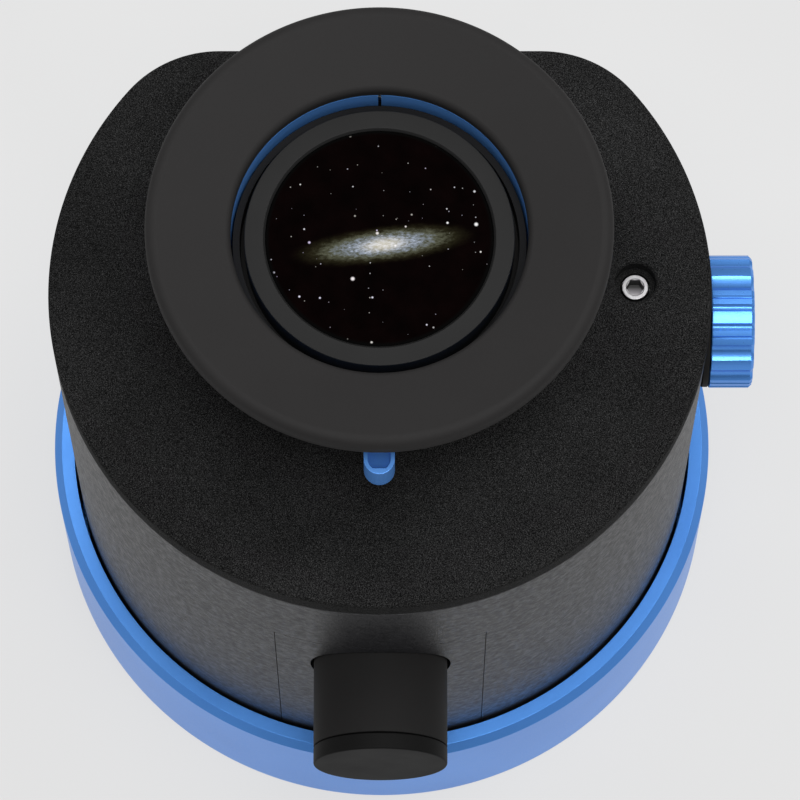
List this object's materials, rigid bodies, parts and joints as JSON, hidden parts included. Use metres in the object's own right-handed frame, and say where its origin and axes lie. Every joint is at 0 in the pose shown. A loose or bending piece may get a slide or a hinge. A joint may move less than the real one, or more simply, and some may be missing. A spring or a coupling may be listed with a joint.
{
  "type": "short catadioptric telescope with electronic eyepiece",
  "caption": "Flat-sided telescope tube on a wide front ring, with an end plate, screen eyepiece with eyeguard and focus ring, side focus knob and radial battery barrel.",
  "frame": {"origin": "under the middle of the bounding box, in the plane of the front ring's lower face; the optical axis stands at x -1.65 mm, y 5.75 mm", "axes": "+Z parallel to the optical axis from the sky end towards the eyepiece, -Y towards the battery barrel, +Y towards the flat side, +X towards the focus knob"},
  "size_m": [0.115, 0.1234, 0.136],
  "materials": {
    "grey_powder_coat": "fine textured powder coat, dark grey",
    "black_crackle": "black speckled wrinkle coat",
    "anodised_blue": "bead blasted, blue anodised",
    "soft_rubber": "soft touch, matte",
    "black_satin": "satin black anodised",
    "bezel_plastic": "fine matte",
    "bright_steel": "bright turned",
    "machined_aluminium": "machined",
    "contact_brass": "plain",
    "coated_glass": "polished, coated",
    "mirror_coating": "polished",
    "display_panel": "gloss black display with a star field picture",
    "circuit_board": "solder mask",
    "chip_plastic": "moulded",
    "cell_wrap": "shrink wrap",
    "white_nylon": "moulded"
  },
  "bodies": {
    "body": {"body_shell": "grey_powder_coat", "service_panel": "grey_powder_coat", "front_ring": "anodised_blue", "rear_plate": "black_crackle", "corrector_cell": "machined_aluminium", "corrector_lens": "coated_glass", "corrector_gasket": "soft_rubber", "corrector_retainer": "black_satin", "secondary_mirror": "mirror_coating", "bulkhead": "machined_aluminium", "baffle_tube": "black_satin", "sensor_holder": "black_satin", "sensor_board": "circuit_board", "image_sensor": "chip_plastic", "pillar_a": "machined_aluminium", "plate_screw_a": "bright_steel", "pillar_b": "machined_aluminium", "plate_screw_b": "bright_steel", "pillar_c": "machined_aluminium", "plate_screw_c": "bright_steel", "pillar_d": "machined_aluminium", "plate_screw_d": "bright_steel", "main_board": "circuit_board", "processor_chip": "chip_plastic", "bearing_block": "machined_aluminium", "block_screw": "bright_steel", "knob_collar": "black_satin", "battery_tube": "black_satin", "battery_bracket": "machined_aluminium", "tube_screw_a": "bright_steel", "tube_screw_b": "bright_steel", "battery_cell": "cell_wrap", "cell_contact": "contact_brass", "neck_collar": "black_satin", "key_pin": "bright_steel", "display_carrier": "black_satin", "round_display": "display_panel", "display_board": "circuit_board", "tripod_plate": "black_satin", "tripod_insert": "contact_brass", "tripod_screw_a": "bright_steel", "tripod_screw_b": "bright_steel"},
    "mirror_carriage": {"primary_mirror": "mirror_coating", "mirror_cell": "machined_aluminium", "mirror_nut": "machined_aluminium", "drive_strip": "bright_steel", "strip_pin": "bright_steel"},
    "focus_spindle": {"focus_shaft": "bright_steel", "focus_knob": "anodised_blue", "knob_grub_screw": "bright_steel"},
    "brake_shoe": {"brake_shoe": "white_nylon"},
    "tension_screw": {"tension_screw": "bright_steel"},
    "cap_seat": {"cap_contact": "contact_brass"},
    "battery_cap": {"battery_cap": "black_satin"},
    "eyepiece_unit": {"eyepiece_barrel": "black_satin", "eyepiece_bezel": "bezel_plastic", "eye_lens": "coated_glass"},
    "focus_ring": {"split_focus_ring": "anodised_blue", "ring_clamp_screw": "bright_steel", "eyeguard": "soft_rubber"}
  },
  "joints": [
    {"name": "focus_knob_turn", "type": "hinge", "parent": "body", "child": "focus_spindle", "pos_m": [0.05425, 0.00665, 0.0869], "axis": [1, 0, 0], "range_deg": [-150, 150]},
    {"name": "mirror_slide", "type": "slide", "parent": "body", "child": "mirror_carriage", "axis": [0, 0, 1], "range_m": [-0.0039, 0.0039]},
    {"name": "tension_screw_turn", "type": "hinge", "parent": "brake_shoe", "child": "tension_screw", "pos_m": [0.03835, 0.00665, 0.1], "axis": [0, 0, 1], "range_deg": [-120, 360]},
    {"name": "brake_shoe_slide", "type": "slide", "parent": "body", "child": "brake_shoe", "axis": [0, 0, 1], "range_m": [-0.000233, 0.0006999]},
    {"name": "battery_cap_turn", "type": "hinge", "parent": "cap_seat", "child": "battery_cap", "pos_m": [-0.00165, -0.06025, 0.0687], "axis": [0, -1, 0], "range_deg": [0, 1080]},
    {"name": "cap_seat_slide", "type": "slide", "parent": "body", "child": "cap_seat", "axis": [0, -1, 0], "range_m": [0, 0.0031]},
    {"name": "focus_ring_turn", "type": "hinge", "parent": "body", "child": "focus_ring", "pos_m": [-0.00165, 0.00575, 0.1256], "axis": [0, 0, 1], "range_deg": [-30, 30]},
    {"name": "eyepiece_slide", "type": "slide", "parent": "body", "child": "eyepiece_unit", "axis": [0, 0, 1], "range_m": [-0.001, 0.001]}
  ],
  "couplings": [
    {"joint": "focus_knob_turn", "follows": "mirror_slide", "rad_per_m": -666.67},
    {"joint": "tension_screw_turn", "follows": "brake_shoe_slide", "rad_per_m": 8976.7},
    {"joint": "cap_seat_slide", "follows": "battery_cap_turn", "m_per_rad": 0.00015915},
    {"joint": "eyepiece_slide", "follows": "focus_ring_turn", "m_per_rad": 0.0019}
  ]
}
